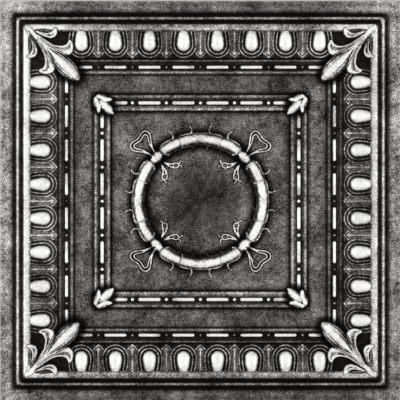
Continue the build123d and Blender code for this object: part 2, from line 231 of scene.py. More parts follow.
MEMBERS = (
    (0, 3.5), (EDGE_GROOVE, 3.5), (EDGE_GROOVE + 0.35, 2.3), (EDGE_BEAD - 0.35, 2.3),
    (EDGE_BEAD, 4.1), (EDGE_BEAD + 0.6, 5.1), (EDGE_BEAD + 1.7, 5.5), (RAIL_GROOVE - 0.6, 5.1),
    (RAIL_GROOVE, 4.1), (RAIL_GROOVE + 0.35, 2.8), (RAIL - 0.3, 2.8), (RAIL, 6.4),
    (RAIL + 0.8, 8.2), (RAIL + 2.0, 9.1), (RAIL + 3.0, 9.4), (FRIEZE - 0.8, 9.4),
    (FRIEZE - 0.1, 8.8), (FRIEZE, 6.4), (FRIEZE_LIP - 0.3, 3.6), (FRIEZE_LIP, 4.6),
    (OUTER_CHANNEL, 4.6), (OUTER_CHANNEL + 0.35, 2.9), (CHANNEL_LIP - 0.35, 2.9),
    (CHANNEL_LIP, 5.0), (BAND_QUIRK, 5.0), (BAND_QUIRK + 0.35, 2.9), (BAND - 0.35, 2.9),
    (BAND, 3.5), (STRIP_QUIRK, 3.5), (STRIP_QUIRK + 0.3, 2.9), (STRIP_LIP - 0.35, 2.9),
    (STRIP_LIP, 5.6), (STRIP_CHANNEL, 5.6), (STRIP_CHANNEL + 0.35, 4.0),
    (STRIP_INNER_LIP - 0.35, 4.0), (STRIP_INNER_LIP, 5.9), (FIELD_QUIRK, 5.9),
    (FIELD_QUIRK + 0.35, 2.9), (FIELD - 0.3, 2.9), (FIELD, 3.5), (HALF, 3.5),
)


def member_height(u):
    """Height of the plain members at a distance from the edge."""
    distances, heights = zip(*MEMBERS)
    return np.interp(u, distances, heights)


def corner_ground(s, t):
    """Face height at s along a diagonal from the tile's corner, t across it."""
    return member_height((s - np.abs(t)) * DIAGONAL)


def field_ground(p, q):
    """Face height on the plain field."""
    return np.full(p.shape, FACE_Z)


def from_corner(side_x, side_y):
    """Grid that runs inwards along a diagonal from the tile's corner, and across it."""
    def to_world(s, t):
        inwards = (HALF / DIAGONAL - s) * DIAGONAL
        return side_x * (inwards - t * DIAGONAL), side_y * (inwards + t * DIAGONAL)
    return to_world


def from_middle(side_x, side_y):
    """Grid that runs outwards along a diagonal from the tile's middle, and across it."""
    def to_world(s, t):
        return side_x * (s - t) * DIAGONAL, side_y * (s + t) * DIAGONAL
    return to_world


def on_arc(quarter):
    """Grid of distance from the wreath's circle and arc length, round one quarter of it."""
    def to_world(offset, along):
        angle = along / WREATH_RADIUS + quarter * math.pi / 2
        return (WREATH_RADIUS + offset) * np.sin(angle), (WREATH_RADIUS + offset) * np.cos(angle)
    return to_world


CORNERS = {
    "top_right": (1, 1),
    "top_left": (-1, 1),
    "bottom_left": (-1, -1),
    "bottom_right": (1, -1),
}


# Ornaments, in millimetres: (along, across, ...) from the tile's corner or from its middle

def corner_leaf():
    """The five-lobed leaf in a corner of the frieze."""
    leaf = Relief((42, -31), (141, 31), 0.7, corner_ground)
    level = leaf.along([(50, 4, 8.2), (66, 9, 8.2), (73, 15, 8.6), (75.5, 20, 9.6), (74, 26, 10.3)])
    outer_lobe = [
        (51, 2.5), (57, 4.6), (61, 7.1), (65, 9.6), (69, 12.3), (71.5, 15.8), (72.7, 19.5),
        (72.6, 22.5), (71.9, 24.8), (73.5, 26.2), (75.7, 25.7), (77.9, 23.5), (79.7, 20.8),
        (80.6, 17.6), (79.9, 14.4), (78, 11.8), (74.7, 9.3), (70.7, 7.4), (66.2, 5.8), (60, 4.1),
        (55, 2.6),
    ]
    # Painted shadow: a dark sheet laid just over the rail beside the outer lobe
    painted_rail_shadow = [
        (55.5, 5), (57.5, 8), (62, 13), (67, 17.6), (71.5, 20.6), (75, 21.4), (73, 18.4), (67, 12.8),
        (61, 6.6), (57.5, 4.2),
    ]
    leaf.body(painted_rail_shadow, leaf.ground + 0.14, 0.0, 1.0, 0.36, 0.45)
    leaf.body(outer_lobe, level[..., 0], 0.8, 2.0, 0.97)
    leaf.groove([(66, 8.2, 0.7, 0.5), (72, 11.6, 1.6, 0.8), (75.5, 15, 1.9, 0.8), (76, 18.5, 1.2, 0.6)],
                0.52, 7.6)
    trunk_level = leaf.along([(60, 0, 9.6), (72, 2, 9.2), (84, 4, 8.8), (92, 9, 8.4), (98, 15, 8.4),
                              (101, 21, 8.6), (97, 27, 8.8)])
    trunk = [
        (60, 0), (62, 3.4), (66, 4.4), (72, 5.5), (80, 6.8), (85, 8.3), (88.8, 10.4), (92.2, 13),
        (94.9, 16), (96.4, 19.4), (96.5, 22.6), (95.2, 25.2), (95.4, 27.2), (97.5, 28), (100.8, 27),
        (103.9, 25.3), (106.9, 22.5), (108.8, 19.1), (109.4, 15.8), (108.4, 12.7), (105.8, 10),
        (102, 8), (95, 4.6), (86, 1.6), (80, 0), (78, -3), (60, -3),
    ]
    leaf.body(trunk, trunk_level[..., 0], 0.9, 1.8, 1.0)
    leaf.groove([(88, 7.0, 1.0, 0.3), (94, 9.9, 2.2, 1.0), (99, 14, 3.2, 1.3), (101.8, 18.5, 3.2, 1.3),
                 (100.8, 22.5, 2.2, 0.9), (99, 24.8, 1.2, 0.4)], 0.55, 7.4)
    leaf.groove([(64, 1.8, 0.6, 0.6), (74, 2.5, 0.8, 0.8), (82, 3.4, 0.9, 0.9), (92, 6.2, 1.0, 1.0),
                 (100, 9.2, 1.0, 0.9), (106, 11.4, 0.8, 0.6)], 0.3, 7.6)
    leaf.groove([(68, 3.6, 0.6, 0.5), (84, 5.6, 0.8, 0.6), (93, 9.6, 0.8, 0.6), (98, 13.4, 0.7, 0.5)],
                0.42, 7.6)
    leaf.groove([(62, 0.2, 0.5, 0.4), (70, 0.5, 0.6, 0.5), (78, 0.9, 0.6, 0.5)], 0.6, 7.6)
    almond = [
        (84, 0), (92, 3.7), (98, 6.7), (103, 8.6), (108, 9.9), (114, 10.5), (120, 10.3), (126, 8.9),
        (131, 6.9), (135, 4.7), (138.2, 2.3), (139.6, 0), (139.6, -2), (84, -2),
    ]
    leaf.body(almond, 6.6, 0.7, 1.0, 0.8, 0.3)
    leaf.groove([(94, 4.4, 0.9, 0.5), (100, 6.6, 1.5, 0.8), (107, 8.0, 1.8, 0.9), (114, 8.5, 1.7, 0.9),
                 (121, 8.2, 1.4, 0.8), (127, 6.7, 1.0, 0.6), (132, 4.9, 0.7, 0.4), (136, 2.8, 0.4, 0.3)],
                0.18, 6.2)
    leaf.ridge([(76, 0, 0.8, 9.6), (82, 0, 1.1, 9.7), (88, 0, 1.9, 9.7), (95, 0, 3.4, 9.6),
                (100, 0, 4.8, 9.6), (106, 0, 6.1, 9.6), (113, 0, 6.8, 9.5), (120, 0, 6.7, 9.2),
                (127, 0, 5.6, 8.6), (132, 0, 4.1, 7.9), (137, 0, 1.6, 6.9)], 1.0)
    collar = [
        (43.4, 0), (45.6, 2.1), (48.2, 3.5), (52, 4.4), (55, 3.9), (58, 3.2), (64.6, 2.5), (65, 0),
        (65, -2), (43.4, -2),
    ]
    leaf.body(collar, 10.2, 0.5, 1.2, 0.97, 0.7)
    # A slot carved beside the stem, towards the left or right rail, painted black there as painted shade on
    # that side only
    leaf.groove([(52, 2.8, 1.8, 0.9), (60, 4.2, 3.2, 1.6), (68, 5.5, 3.4, 1.6), (76, 7.2, 2.6, 1.2),
                 (83, 9.0, 1.2, 0.6)], 0.0, 6.0, side=-1)
    return leaf


def corner_bud():
    """The three-lobed bud in a corner of the inner strip."""
    bud = Relief((160, -16), (201, 16), 0.6, corner_ground)
    lobe = [
        (168, 0), (168.6, 3.6), (171.4, 7), (175.6, 9), (180, 10), (183.6, 12.2),
        (186, 12), (186, 9.6), (184.6, 7.2), (183.2, 5.2), (182, 3), (178, 2.2), (172, 0.2),
    ]
    bud.body(lobe, 6.9, 0.9, 2.2, 1.0, 0.4)
    bud.groove([(171, 5.6, 1.5, 0.2), (175.6, 7.6, 2.2, 0.4), (180, 8.8, 1.6, 0.3)], 0.6, 6.4)
    wedge = [(170, 0), (178.5, 2.6), (184, 3), (184, -3), (178.5, -2.6)]
    bud.body(wedge, 4.6, 0.2, 1.0, 0.3, 0.1)
    bud.ridge([(176.5, 0, 1.4, 6.8), (180, 0, 3.6, 8.2), (184, 0, 5.3, 8.7), (188, 0, 5.8, 8.7),
               (192, 0, 5.2, 8.3), (195.5, 0, 3.8, 7.6), (198.6, 0, 1.4, 6.6)], 1.0)
    bud.ridge([(163.6, 0, 1.6, 5.2), (164.4, 0, 1.6, 5.2)], 0.4)
    return bud


# Tone of the outer half of each arc, from the top clockwise; the right and left ones are brighter as painted
# light, as if lit from the sides
ARC_SIDE_LIT_TONES = (0.75, 1.0, 0.78, 0.9)


def wreath_arc(outer_tone):
    """One quarter of the wreath: band, logs, wraps, straps and hooks."""
    degree = WREATH_RADIUS * math.pi / 180

    def polar(rows):
        return [(r - WREATH_RADIUS, angle * degree) + tuple(rest) for angle, r, *rest in rows]

    arc = Relief((-17.5, -53), (18.6, 53), 0.65, field_ground)
    offset, along = arc.p, np.abs(arc.q)
    past_end = np.maximum(along - 37.0 * degree, 0)
    band = 7.6 - 0.062 * offset**2 - 3.0 * past_end
    # The outer half takes its arc's tone, which holds painted light on the left and right arcs
    inner_and_outer = np.interp(offset, [-8.4, -7.6, -6.6, -5, 4, 6.4, 7.4, 8.2],
                                [0.14, 0.4, 0.3, 0.5, outer_tone, outer_tone, 0.6 * outer_tone, 0.05])
    arc.put(np.where((np.abs(offset) < 8.4) & (past_end < 1.2), band, -1), inner_and_outer)
    arc.ridge(polar([(0, 78.2, 6.4, 10.15), (18, 78.2, 6.4, 10.15), (35.4, 78.2, 6.4, 10.15)]), 0.92)
    arc.ridge(polar([(2.3, 77.4, 0.5, 10.4), (3.4, 77.5, 2.2, 10.6), (5, 77.6, 4.0, 10.7),
                     (8, 78, 5.8, 10.8), (12, 78.1, 6.2, 10.9), (17.4, 78.1, 6.0, 10.7)]), 1.02)
    arc.ridge(polar([(19.8, 78, 4.8, 10.4), (21, 78.1, 5.8, 10.8), (25, 78.2, 6.2, 10.9),
                     (30, 78.2, 6.1, 10.8), (35, 78.1, 5.6, 10.6)]), 1.02)
    arc.ridge(polar([(19.0, 70.2, 0.8, 5.8), (18.1, 72, 1.0, 8.0), (17.9, 74, 1.1, 10.2),
                     (18.6, 78, 1.1, 11.2), (17.9, 82, 1.1, 10.0), (18.5, 84, 1.0, 8.0),
                     (17.3, 85.5, 0.8, 6.0)]), 0.95)
    arc.ridge(polar([(34.6, 70.3, 1.1, 5.6), (36.1, 72.5, 1.5, 7.6), (36.8, 75, 1.7, 9.8),
                     (37.0, 78, 1.7, 11.0), (36.8, 81, 1.7, 9.8), (36.0, 83.4, 1.5, 7.8),
                     (34.2, 85.4, 1.2, 6.4)]), 0.97)
    arc.ridge(polar([(34.4, 85.2, 1.1, 6.2), (31, 85.5, 1.1, 6.2), (28, 85.2, 1.0, 6.0),
                     (25, 84.8, 1.0, 5.9), (23.4, 86.2, 0.9, 5.8), (22.8, 88.5, 0.9, 5.6),
                     (22.8, 90.5, 0.9, 5.6), (23.4, 93, 1.0, 5.6), (24.5, 95.2, 1.0, 5.4)]), 0.86)
    arc.ridge(polar([(17.2, 85.4, 1.0, 6.2), (14, 85.6, 1.0, 6.2), (11, 85.3, 1.0, 6.0),
                     (9.4, 84.9, 1.0, 5.9), (7.8, 86.3, 0.9, 5.8), (7.1, 88.5, 0.9, 5.6),
                     (7.0, 90.5, 0.9, 5.6), (7.5, 93, 1.0, 5.6), (8.4, 95.2, 1.0, 5.4)]), 0.84)
    arc.ridge(polar([(0, 85.0, 0.9, 6.0), (4, 85.0, 0.9, 6.0), (8, 85.0, 0.9, 6.0)]), 0.66)
    arc.ridge(polar([(35, 70.5, 0.9, 5.4), (33, 69.4, 0.9, 5.2), (28, 70.2, 0.9, 5.4),
                     (24, 69.9, 0.9, 5.3), (21.9, 68.5, 0.9, 5.2), (21, 66.5, 0.9, 5.2),
                     (21.3, 64.5, 0.8, 5.0), (22.5, 62.6, 0.8, 5.0)]), 0.3)
    arc.ridge(polar([(18.8, 71, 0.9, 5.6), (16.5, 69.8, 0.9, 5.3), (12, 70.1, 0.9, 5.4),
                     (9.5, 69.9, 0.9, 5.3), (7.7, 68.5, 0.9, 5.2), (7.1, 66.5, 0.9, 5.2),
                     (7.4, 64.5, 0.8, 5.0), (8.3, 62.6, 0.8, 5.0)]), 0.3)
    return arc


def wreath_knot():
    """A knot of the wreath on its diagonal, with its ribbon loop and tassels."""
    knot = Relief((44, -20.5), (114.5, 20.5), 0.6, field_ground)
    knot.ridge([(77.2, 5, 3.1, 7.8), (77, 8, 3.1, 7.8), (76.4, 11.5, 3.1, 7.8)], 0.66)
    core = [
        (72.2, 0), (72.5, 3), (73.6, 5.2), (74.6, 7.8), (79.9, 7.8), (81.3, 5.6),
        (82.9, 3.4), (83.2, 0), (83, -2), (72.2, -2),
    ]
    knot.body(core, 7.9, 1.7, 4.0, 1.0, 0.5)
    knot.groove([(83.6, 0, 1.7, 1.4), (81.6, 0, 1.6, 0.8), (80.4, 0, 0.8, 0.4)], 0.4)
    knot.groove([(73.2, 1.4, 0.9, 0.5), (75, 2.2, 0.7, 0.3)], 0.7)
    knot.groove([(80.4, 4.8, 0.9, 0.4), (82.2, 4.9, 0.9, 0.5)], 0.66)
    middle = [(84.5, 2.7), (89.8, 4.7), (95, 6.8), (99.5, 9.9), (103, 12.1), (106.2, 13),
              (109.3, 11.5), (110.2, 8.4), (109.4, 4.4), (108.5, 0), (109.4, -4.4)]
    widths = [0.9, 1.6, 2.2, 2.4, 2.4, 2.4, 2.4, 2.3, 2.2, 2.2, 2.2]
    knot.ridge([point + (width, 4.95) for point, width in zip(middle, widths)], 0.1, 1.3)
    outer_edge = [(89.2, 4.4), (90.6, 5.2), (95, 8.2), (100, 12.1), (103, 14), (106.5, 14.9),
                  (110, 13.8), (111.9, 11), (112, 7), (110.9, 3), (110.4, 0), (110.9, -3)]
    inner_edge = [(88.8, 4.1), (90.6, 4.5), (95, 5.4), (99, 7.6), (103, 10.2), (105.5, 10.8),
                  (107.7, 9.8), (108.2, 7.5), (107.3, 4), (106.6, 0), (107.3, -4)]
    for edge in (outer_edge, inner_edge):
        knot.ridge([point + (0.9, 5.8) for point in edge], 1.0)
    knot.ridge([(83, 2.6, 0.6, 5.4), (86.4, 3.4, 0.7, 5.2), (89, 4.2, 1.4, 5.7), (92, 5.6, 1.6, 5.8),
                (94.4, 6.7, 0.8, 5.7)], 0.95)
    lower = [(65.8, 2.5, 0.7, 5.0), (63, 3, 1.3, 5.4), (58, 3.8, 1.2, 5.4), (53.4, 5.8, 1.0, 5.2),
             (50.7, 8.2, 0.9, 5.2), (50.2, 10.6, 0.9, 5.2), (51.2, 12.8, 0.9, 5.2)]
    upper = [(65, 2.8, 0.8, 5.0), (62, 4.6, 1.1, 5.4), (59.6, 6.4, 1.0, 5.4), (57, 9.4, 1.0, 5.2),
             (55.6, 12, 0.9, 5.2), (53, 13.6, 0.9, 5.2)]
    cross = [(54.4, 5.6, 0.7, 5.0), (55.4, 7.8, 0.7, 5.0), (57.6, 8.6, 0.7, 5.0)]
    first_tail = [(51, 12.8, 0.9, 5.2), (49.2, 14, 0.9, 5.1), (46, 14, 0.9, 5.0)]
    second_tail = [(52.6, 13.4, 0.9, 5.2), (52.1, 16, 0.9, 5.1), (53.8, 18.6, 0.9, 5.0)]
    for path, tone in ((lower, 1.0), (upper, 1.0), (cross, 0.9), (first_tail, 0.8), (second_tail, 0.9)):
        knot.ridge(path, tone, 1.0)
    knot.ridge([(65.6, 2.5, 0.6, 4.6), (70.6, 2.0, 0.6, 4.8)], 0.22)
    return knot


# Materials

# The silver's grain, spots and broad patches, each as scale, detail and strength
MOTTLE = ((620.0, 1.0, 2.4), (170.0, 3.0, 1.6), (24.0, 3.0, 1.9))
MOTTLE_ON_SILVER = 0.22     # share of the mottle that stays where the silver is full
DISPLAY_POWERS = (2.2, 2.24, 2.28)
BLACK_ROUGHNESS = 0.8
SILVER_ROUGHNESS = 0.45
SILVER_METALLIC = 0.3
SPECULAR = 0.08
BUMP_STRENGTH = 0.2
BUMP_DEPTH = 0.0003
FOAM_CELLS = 380.0
FOAM_LIGHT = (0.78, 0.77, 0.74, 1)
FOAM_DARK = (0.6, 0.59, 0.56, 1)


class Nodes:
    """Short names for the nodes of one material."""

    def __init__(self, name):
        self.material = bpy.data.materials.new(name)
        self.material.use_nodes = True
        self.tree = self.material.node_tree
        self.shader = self.tree.nodes["Principled BSDF"]

    def add(self, kind, values=(), **settings):
        node = self.tree.nodes.new("ShaderNode" + kind)
        for key, value in settings.items():
            setattr(node, key, value)
        for key, value in dict(values).items():
            if isinstance(value, bpy.types.NodeSocket):
                self.tree.links.new(value, node.inputs[key])
            else:
                node.inputs[key].default_value = value
        return node

    def math(self, operation, a, b=0.0, c=0.0, clamp=False):
        return self.add("Math", {0: a, 1: b, 2: c}, operation=operation, use_clamp=clamp).outputs[0]

    def times(self, a, b):
        return self.math("MULTIPLY", a, b)

    def plus(self, a, b):
        return self.math("ADD", a, b)

    def minus(self, a, b):
        return self.math("SUBTRACT", a, b)

    def inverse(self, value):
        """1 where the value is 0, and 0 where it is 1."""
        return self.math("SUBTRACT", 1.0, value)

    def below(self, value, limit):
        """1 where the value is under the limit, and 0 elsewhere."""
        return self.math("LESS_THAN", value, limit)

    def lerp(self, factor, a, b):
        return self.add("Mix", {0: factor, 2: a, 3: b}, data_type="FLOAT").outputs[0]

    def mix_colour(self, factor, a, b):
        return self.add("Mix", {0: factor, 6: a, 7: b}, data_type="RGBA").outputs[2]

    def smooth(self, value, low, high):
        """0 below low, 1 above high, smooth between them."""
        node = self.add("MapRange", {0: value, 1: low, 2: high, 3: 0.0, 4: 1.0},
                        interpolation_type="SMOOTHSTEP")
        return node.outputs[0]

    def curve(self, value, pairs, reach):
        """A curve through pairs of (value, result) with straight runs, up to the value reach."""
        node = self.add("FloatCurve")
        points = node.mapping.curves[0].points
        while len(points) < len(pairs):
            points.new(0.5, 0.5)
        for point, (at, result) in zip(points, pairs):
            point.location = (at / reach, result)
            point.handle_type = "VECTOR"
        node.mapping.extend = "HORIZONTAL"
        node.mapping.update()
        self.tree.links.new(self.math("DIVIDE", value, reach), node.inputs[1])
        return node.outputs[0]

    def noise(self, place, scale, detail=2.0, roughness=0.5):
        return self.add("TexNoise", {"Vector": place, "Scale": scale, "Detail": detail,
                                     "Roughness": roughness}).outputs[0]

    def on_diagonal(self, x, y):
        """Distance from the tile's middle along a diagonal and across it, alike in the four quarters."""
        across, along = self.math("ABSOLUTE", x), self.math("ABSOLUTE", y)
        return (self.times(self.plus(across, along), DIAGONAL),
                self.times(self.minus(across, along), DIAGONAL))

    def paint(self, tone, place, grain, bare=None):
        """Silver rubbed over black, from a tone that is a display brightness, with its grain.

        Where bare is 1 the white foam shows, with its cells."""
        mottle = 0.0
        for scale, detail, strength in MOTTLE:
            change = self.minus(self.noise(place, scale, detail, 0.6), 0.5)
            mottle = self.plus(mottle, self.times(change, strength * grain))
        rubbed = self.smooth(tone, 0.5, 0.95)
        mottle = self.times(mottle, self.lerp(rubbed, 1.0, MOTTLE_ON_SILVER))
        toned = self.times(tone, self.plus(mottle, 1.0))
        toned = self.math("MAXIMUM", toned, 0.0, clamp=True)
        # The powers turn a display brightness into a colour, a little warmer where it is dark
        channels = {channel: self.math("POWER", toned, power) for channel, power in enumerate(DISPLAY_POWERS)}
        colour = self.add("CombineColor", channels).outputs[0]
        shine = toned
        texture = self.noise(place, 700.0, 2.0, 0.6)
        if bare is not None:
            voronoi = self.add("TexVoronoi", {"Vector": place, "Scale": FOAM_CELLS}, feature="SMOOTH_F1")
            cell = voronoi.outputs[0]
            colour = self.mix_colour(bare, colour, self.mix_colour(cell, FOAM_LIGHT, FOAM_DARK))
            shine = self.times(toned, self.inverse(bare))
            texture = self.lerp(bare, texture, self.inverse(cell))
        bump = self.add("Bump", {"Height": texture, "Strength": BUMP_STRENGTH, "Distance": BUMP_DEPTH})
        roughness = self.lerp(shine, BLACK_ROUGHNESS, SILVER_ROUGHNESS)
        metallic = self.times(shine, SILVER_METALLIC)
        for value, socket in ((colour, "Base Color"), (roughness, "Roughness"),
                              (metallic, "Metallic"), (bump.outputs[0], "Normal")):
            self.tree.links.new(value, self.shader.inputs[socket])
        self.shader.inputs["Specular IOR Level"].default_value = SPECULAR
        return self.material


WREATH_REACH = 120.0          # the wreath and its ribbons end within this distance of the middle
LEAF_STREAKS = (0.04, 0.3)    # scale of the streaks along a leaf and across it
RING_STREAKS = (0.2, 4.0)     # the same across the wreath and round it


def streaks(nodes, x, y):
    """Dark streaks left along the leaves and round the wreath, and other ones in each quarter."""
    down, aside = nodes.on_diagonal(x, y)
    radius = nodes.math("SQRT", nodes.plus(nodes.times(x, x), nodes.times(y, y)))
    quarter = nodes.plus(nodes.math("SIGN", x), nodes.times(nodes.math("SIGN", y), 2.0))
    leaf_place = nodes.add("CombineXYZ", {0: nodes.times(down, LEAF_STREAKS[0]),
                                          1: nodes.times(aside, LEAF_STREAKS[1]), 2: quarter})
    ring_place = nodes.add("CombineXYZ", {0: nodes.times(radius, RING_STREAKS[0]),
                                          1: nodes.times(nodes.math("ARCTAN2", y, x), RING_STREAKS[1])})
    on_leaf = nodes.math("GREATER_THAN", radius, WREATH_REACH)
    streak_place = nodes.add("Mix", {0: on_leaf, 4: ring_place.outputs[0], 5: leaf_place.outputs[0]},
                             data_type="VECTOR").outputs[1]
    return nodes.smooth(nodes.noise(streak_place, 1.0, 3.0, 0.65), 0.36, 0.56)


def make_ornament_paint():
    nodes = Nodes("silvered_ornament")
    place = nodes.add("TexCoord").outputs["Object"]
    tone = nodes.add("Attribute", attribute_name="tone").outputs["Fac"]
    axes = nodes.add("SeparateXYZ", {0: place})
    x, y = (nodes.times(axis, 1 / MM) for axis in axes.outputs[:2])
    darkest = nodes.lerp(nodes.smooth(tone, 0.5, 0.9), 0.5, 0.94)
    streaked = nodes.times(tone, nodes.lerp(streaks(nodes, x, y), darkest, 1.0))
    return nodes.paint(streaked, place, 1.1)


# How much silver the brush left on each plain member, from 0, black, to 1, with painted light that makes the
# left and
# right sides brighter: distance from the edge, tone on the upper and lower sides, tone on the left and right
# ones

BORDER_TONES = (
    (0, 0.4, 0.62), (3.5, 0.33, 0.52), (9, 0.39, 0.57), (EDGE_GROOVE - 3, 0.26, 0.45),
    (EDGE_GROOVE - 1.6, 0.11, 0.29), (EDGE_GROOVE, 0.05, 0.16), (EDGE_BEAD - 1.6, 0.05, 0.13),
    (EDGE_BEAD - 0.7, 0.12, 0.27),
)
EDGE_BEAD_TONES = (
    (EDGE_BEAD, 0.3, 0.54), (EDGE_BEAD + 0.8, 0.48, 0.74), (EDGE_BEAD + 1.9, 0.5, 0.8),
    (RAIL_GROOVE - 0.6, 0.32, 0.66), (RAIL_GROOVE + 0.2, 0.08, 0.3), (RAIL_GROOVE + 1, 0.03, 0.2),
    (RAIL - 3, 0.05, 0.12), (RAIL - 1, 0.08, 0.26),
)
RAIL_TONES = (
    (RAIL + 0.4, 0.38, 0.7), (RAIL + 1.8, 0.5, 0.87), (RAIL + 4.5, 0.54, 0.88),
    (FRIEZE - 2.7, 0.63, 0.84), (FRIEZE - 1.7, 0.54, 0.7), (FRIEZE, 0.16, 0.3),
)
FRIEZE_TONES = (
    (FRIEZE + 0.4, 0.08, 0.1), (FRIEZE + 12, 0.1, 0.12), (FRIEZE_LIP - 14, 0.12, 0.19),
    (FRIEZE_LIP - 4.4, 0.12, 0.19), (FRIEZE_LIP - 3.4, 0.03, 0.12), (FRIEZE_LIP - 1.6, 0.03, 0.11),
    (FRIEZE_LIP - 0.9, 0.34, 0.34), (FRIEZE_LIP - 0.2, 0.46, 0.43), (OUTER_CHANNEL - 1, 0.29, 0.3),
)
CHANNEL_TONES = (
    (OUTER_CHANNEL, 0.14, 0.22), (OUTER_CHANNEL + 2.8, 0.13, 0.18), (OUTER_CHANNEL + 3.8, 0.08, 0.1),
    (CHANNEL_LIP - 2.6, 0.08, 0.1), (CHANNEL_LIP - 0.8, 0.2, 0.22), (CHANNEL_LIP, 0.44, 0.4),
    (CHANNEL_LIP + 1.5, 0.5, 0.46), (BAND_QUIRK - 0.9, 0.32, 0.34), (BAND_QUIRK, 0.14, 0.16),
    (BAND - 0.6, 0.15, 0.16),
)
BAND_TONES = (
    (BAND + 0.4, 0.28, 0.28), (BAND + 3.4, 0.32, 0.35), (BAND + 10, 0.33, 0.38),
    (STRIP_QUIRK - 4, 0.32, 0.39), (STRIP_QUIRK - 1.2, 0.19, 0.24), (STRIP_QUIRK, 0.06, 0.16),
    (STRIP_LIP - 0.6, 0.1, 0.24),
)
STRIP_TONES = (
    (STRIP_LIP + 0.2, 0.38, 0.49), (STRIP_LIP + 1.3, 0.47, 0.6), (STRIP_CHANNEL - 1.1, 0.4, 0.47),
    (STRIP_CHANNEL + 0.1, 0.24, 0.27), (STRIP_CHANNEL + 1.5, 0.17, 0.24), (STRIP_CHANNEL + 2.8, 0.1, 0.13),
    (STRIP_INNER_LIP - 3, 0.12, 0.14), (STRIP_INNER_LIP - 1.6, 0.34, 0.3), (STRIP_INNER_LIP, 0.42, 0.38),
    (STRIP_INNER_LIP + 1.2, 0.58, 0.55), (FIELD_QUIRK - 1.8, 0.58, 0.6), (FIELD_QUIRK - 0.8, 0.3, 0.4),
    (FIELD_QUIRK, 0.06, 0.14), (FIELD - 0.9, 0.06, 0.12),
)
FIELD_TONES = ((FIELD, 0.16, 0.16), (FIELD + 1.2, 0.25, 0.25), (FIELD + 5.6, 0.36, 0.36))
MEMBER_TONES = (BORDER_TONES + EDGE_BEAD_TONES + RAIL_TONES + FRIEZE_TONES + CHANNEL_TONES + BAND_TONES
                + STRIP_TONES + FIELD_TONES)


REACH = 145.0          # from this distance from the edge inwards the field is plain
CEILING = 12.0         # a height over all that the tile has
TALLEST = 8.0          # a height over its member that no ornament reaches
CORNER_ROUND = 8.0     # how far the outer members' corners are rounded
MITRE = 6.0            # half width of the blend between the tones of two sides
BORDER_BLEND = 80.0    # how far before the mitre that blend starts on the border
RAIL_END = (158.0, 176.0)          # where a rail gets brighter, from its side's middle
TILT_UP = 0.0004                   # share the outer members' tone grows by for each millimetre up
TILT_LEFT = 0.0003                 # the same towards the left
LAST_DUST = 3.7 * EGG_PITCH        # where the frieze's dust ends, from its side's middle
OUTER_ROW_FADE = (142.0, 153.0)    # where the beads fade, from their side's middle
INNER_ROW_FADE = (101.0, 109.0)
DOT_REACH = 3.2                    # a dot ends within this distance of its middle


class TilePlan:
    """Where a point of the tile lies, in millimetres, as values of one material's nodes."""

    def __init__(self, nodes):
        self.nodes = nodes
        self.place = nodes.add("TexCoord").outputs["Object"]
        axes = nodes.add("SeparateXYZ", {0: self.place})
        self.x, self.y, z = (nodes.times(axis, 1 / MM) for axis in axes.outputs)
        across, along = nodes.math("ABSOLUTE", self.x), nodes.math("ABSOLUTE", self.y)
        self.mitred = nodes.minus(HALF, nodes.math("MAXIMUM", across, along))
        rounded = nodes.minus(HALF, nodes.math("SMOOTH_MAX", across, along, CORNER_ROUND))
        self.u = nodes.lerp(nodes.below(self.mitred, BAND), self.mitred, rounded)
        self.by_the_side = nodes.math("MINIMUM", across, along)
        self.from_dart = nodes.math("PINGPONG", self.by_the_side, EGG_PITCH / 2)
        blend = nodes.lerp(nodes.below(self.u, EDGE_GROOVE), -MITRE, -BORDER_BLEND)
        self.sideways = nodes.smooth(nodes.minus(across, along), blend, MITRE)
        profile = [(at, height / CEILING) for at, height in MEMBERS if at < REACH]
        ground = self.by_distance(profile + [(REACH, FACE_Z / CEILING)])
        self.height = nodes.minus(z, nodes.times(ground, CEILING))

    def by_distance(self, pairs):
        """A value given at distances from the tile's edge."""
        return self.nodes.curve(self.u, pairs, REACH)

    def by_height(self, pairs):
        """A value given at heights over the plain member."""
        return self.nodes.curve(self.height, pairs, TALLEST)


def member_tone(nodes, plan):
    """The tone of the plain members."""
    upright = plan.by_distance([(at, tone) for at, tone, _ in MEMBER_TONES])
    # The left and right sides take the brighter tones: painted light, as if lit from the sides
    side = plan.by_distance([(at, tone) for at, _, tone in MEMBER_TONES])
    flat = nodes.lerp(plan.sideways, upright, side)

    # Brighter at the ends of the upper and lower rails, and towards the left and the top
    at_end = nodes.smooth(plan.by_the_side, *RAIL_END)
    on_rail = plan.by_distance([(0, 0), (RAIL + 0.1, 0), (RAIL + 2.1, 0.3), (RAIL + 6.1, 0.3),
                                (FRIEZE - 0.5, 0), (REACH, 0)])
    rail_end = nodes.times(nodes.times(at_end, on_rail), nodes.inverse(plan.sideways))
    tilt = nodes.minus(nodes.times(plan.y, TILT_UP), nodes.times(plan.x, TILT_LEFT))
    tilt = nodes.times(tilt, nodes.below(plan.u, BAND))
    return nodes.times(nodes.plus(flat, rail_end), nodes.plus(tilt, 1.0))


# The black wash on the field: distance from the tile's middle, and the share of the tone left
WREATH_WASH = (
    (0, 0.55), (18, 0.58), (30, 0.69), (42, 0.78), (48, 0.88), (54, 0.97), (58, 0.92), (62, 0.74),
    (65, 0.46), (67, 0.14), (69, 0.1), (86, 0.1), (88, 0.26), (91, 0.64), (94, 0.96), (97, 1), (200, 1),
)
# The same wash in ovals on the diagonals: middle from the tile's corner, half length, half width
LEAF_TIP_WASH = (121.0, 23.5, 17.0)
BUD_WASH = (183.0, 18.5, 15.0)


